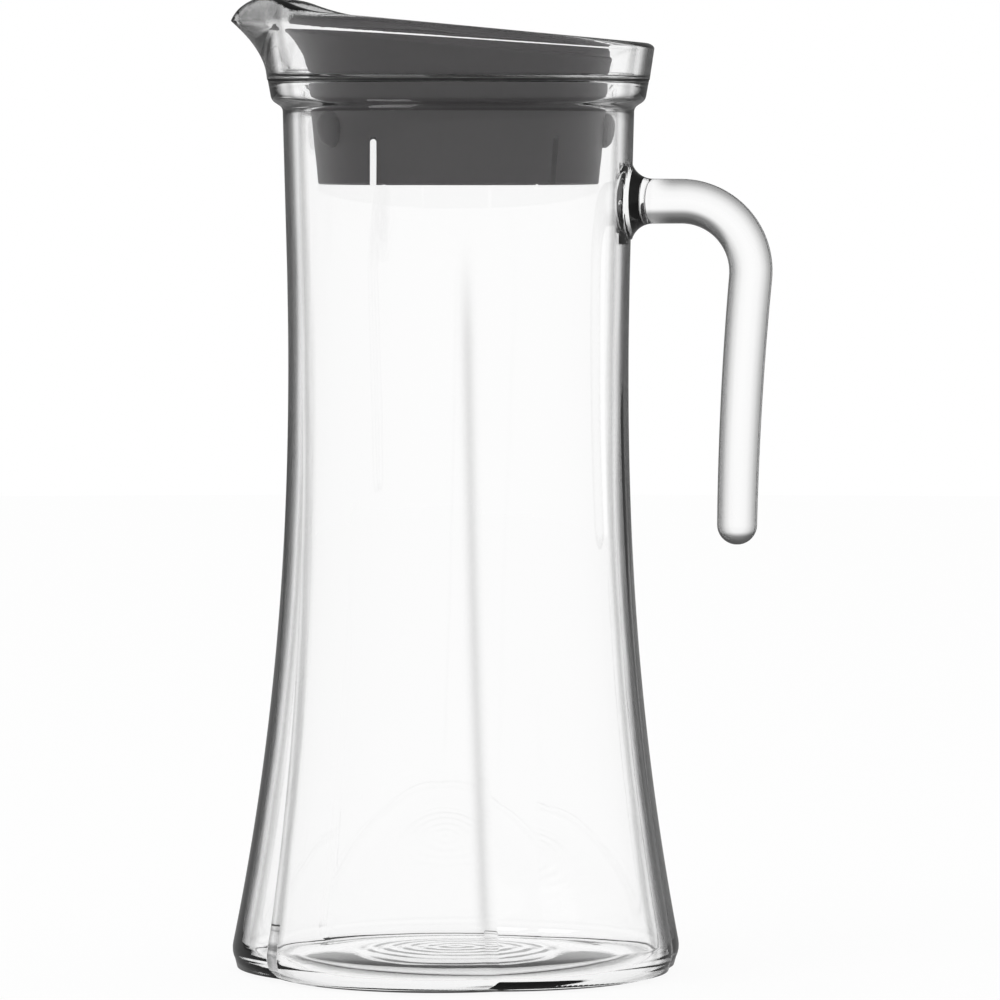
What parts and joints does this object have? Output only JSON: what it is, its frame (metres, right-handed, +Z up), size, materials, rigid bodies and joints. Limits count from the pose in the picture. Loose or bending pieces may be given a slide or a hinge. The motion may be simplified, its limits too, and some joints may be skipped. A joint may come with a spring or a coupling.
{
  "type": "pitcher with lid",
  "caption": "Clear glass pitcher with bowed panels, a round collared neck, a pouring spout, an open rod handle and a push-in plastic lid.",
  "frame": {"origin": "centre of the ring that the jug stands on, on the jug's axis", "axes": "+Z up, -X towards the spout, +X towards the handle, +Y to the left of someone who looks from the spout towards the handle"},
  "size_m": [0.1469, 0.1218, 0.263],
  "materials": {
    "clear_glass": "fire-polished clear glass",
    "grey_plastic": "satin dark grey moulded plastic"
  },
  "bodies": {
    "jug": {"glass_body": "clear_glass", "glass_handle": "clear_glass"},
    "lid": {"lid": "grey_plastic"}
  },
  "joints": [
    {"name": "lid_lift", "type": "slide", "parent": "jug", "child": "lid", "axis": [0, 0, 1], "range_m": [0, 0.07]}
  ]
}
